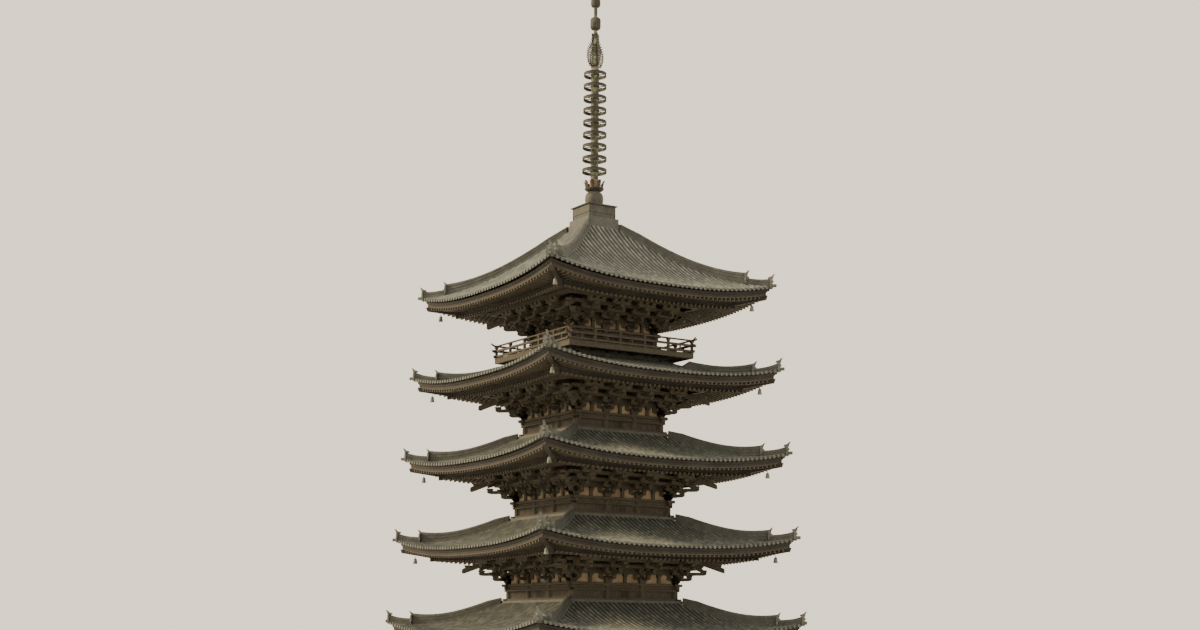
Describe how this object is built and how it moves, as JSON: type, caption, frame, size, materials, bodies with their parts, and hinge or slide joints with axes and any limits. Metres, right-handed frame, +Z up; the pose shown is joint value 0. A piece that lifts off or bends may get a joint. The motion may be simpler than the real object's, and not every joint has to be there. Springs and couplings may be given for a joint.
{
  "type": "five-storey timber pagoda, 1:2 scale model",
  "caption": "Square timber tower with stacked tiled roofs whose corners curve up, bracketed eaves, a top-storey balcony and a tall ringed bronze spire.",
  "frame": {"origin": "centre of the stone podium's underside, on the tower's axis", "axes": "+Z up along the tower's axis, +X to the east face and +Y to the north face"},
  "size_m": [9.3568, 9.3568, 23],
  "materials": {
    "podium_stone": "dressed, weathered",
    "frame_timber": "dark weathered timber",
    "board_timber": "weathered boards",
    "roof_tile": "smoked grey clay tile, weathered",
    "spire_bronze": "dark bronze with verdigris"
  },
  "bodies": {
    "root": {"podium": "podium_stone", "door_south": "board_timber", "door_east": "board_timber", "door_north": "board_timber", "door_west": "board_timber", "walls_1": "frame_timber", "brackets_1": "frame_timber", "eaves_1": "frame_timber", "roof_1": "roof_tile", "floor_2": "frame_timber", "walls_2": "frame_timber", "shutters_2": "board_timber", "brackets_2": "frame_timber", "eaves_2": "frame_timber", "roof_2": "roof_tile", "floor_3": "frame_timber", "walls_3": "frame_timber", "shutters_3": "board_timber", "brackets_3": "frame_timber", "eaves_3": "frame_timber", "roof_3": "roof_tile", "floor_4": "frame_timber", "walls_4": "frame_timber", "shutters_4": "board_timber", "brackets_4": "frame_timber", "eaves_4": "frame_timber", "roof_4": "roof_tile", "floor_5": "frame_timber", "walls_5": "frame_timber", "shutters_5": "board_timber", "brackets_5": "frame_timber", "eaves_5": "frame_timber", "roof_5": "roof_tile", "top_frame": "frame_timber", "balcony_deck": "frame_timber", "balcony_railing": "frame_timber", "heart_pillar": "frame_timber", "dew_basin": "spire_bronze", "inverted_bowl": "spire_bronze", "lotus_seat": "spire_bronze", "nine_rings": "spire_bronze", "spire_rod": "spire_bronze", "water_flame": "spire_bronze", "upper_ball": "spire_bronze", "jewel": "spire_bronze"}
  },
  "joints": []
}
